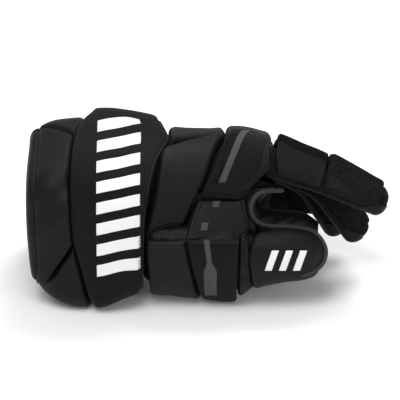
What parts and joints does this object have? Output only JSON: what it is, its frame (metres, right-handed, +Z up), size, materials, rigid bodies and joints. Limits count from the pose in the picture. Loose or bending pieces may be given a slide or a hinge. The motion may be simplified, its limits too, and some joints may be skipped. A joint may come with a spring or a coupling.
{
  "type": "ice hockey glove",
  "caption": "Padded ice hockey glove for a left hand, with flared cuff, cuff roll, back and finger pads, thumb cap and open finger stalls.",
  "frame": {"origin": "middle of the bounding box's underside, on the surface that the glove lies on", "axes": "+X from the cuff's opening to the fingertips, +Y from the thumb to the little finger's side, +Z up, out of the back of the hand"},
  "size_m": [0.3318, 0.1626, 0.1551],
  "materials": {
    "smooth": "black synthetic leather over foam, fine grain, low sheen",
    "ribbed": "black ribbed nylon over foam, matt",
    "mesh": "black knitted mesh, matt",
    "leather": "black soft leather, fine wrinkles",
    "piping": "charcoal grey binding tape, satin",
    "lining": "black brushed lining, matt"
  },
  "bodies": {
    "root": {"cuff_lining": "lining", "hand_back": "mesh", "palm": "leather", "thumb_stall": "leather", "thumb_joint_panel": "leather", "thumb_web": "leather", "index_stall": "mesh", "middle_stall": "mesh", "ring_stall": "mesh", "little_stall": "mesh", "cuff_roll": "ribbed", "cuff_little_panel": "smooth", "cuff_back_panel": "smooth", "cuff_thumb_panel": "smooth", "cuff_palm_flap": "smooth", "back_thumb_pad": "smooth", "back_centre_pad": "smooth", "back_little_pad": "smooth", "knuckle_index_pad": "ribbed", "knuckle_middle_pad": "smooth", "knuckle_ring_pad": "smooth", "knuckle_little_pad": "smooth", "side_pad": "smooth", "thumb_base_rear_pad": "smooth", "thumb_base_front_pad": "smooth", "thumb_cap": "smooth", "index_near_pad": "smooth", "index_tip_pad": "ribbed", "middle_near_pad": "smooth", "middle_tip_pad": "ribbed", "ring_near_pad": "smooth", "ring_tip_pad": "ribbed", "little_near_pad": "smooth", "little_tip_pad": "ribbed", "thumb_binding": "piping"}
  },
  "joints": []
}
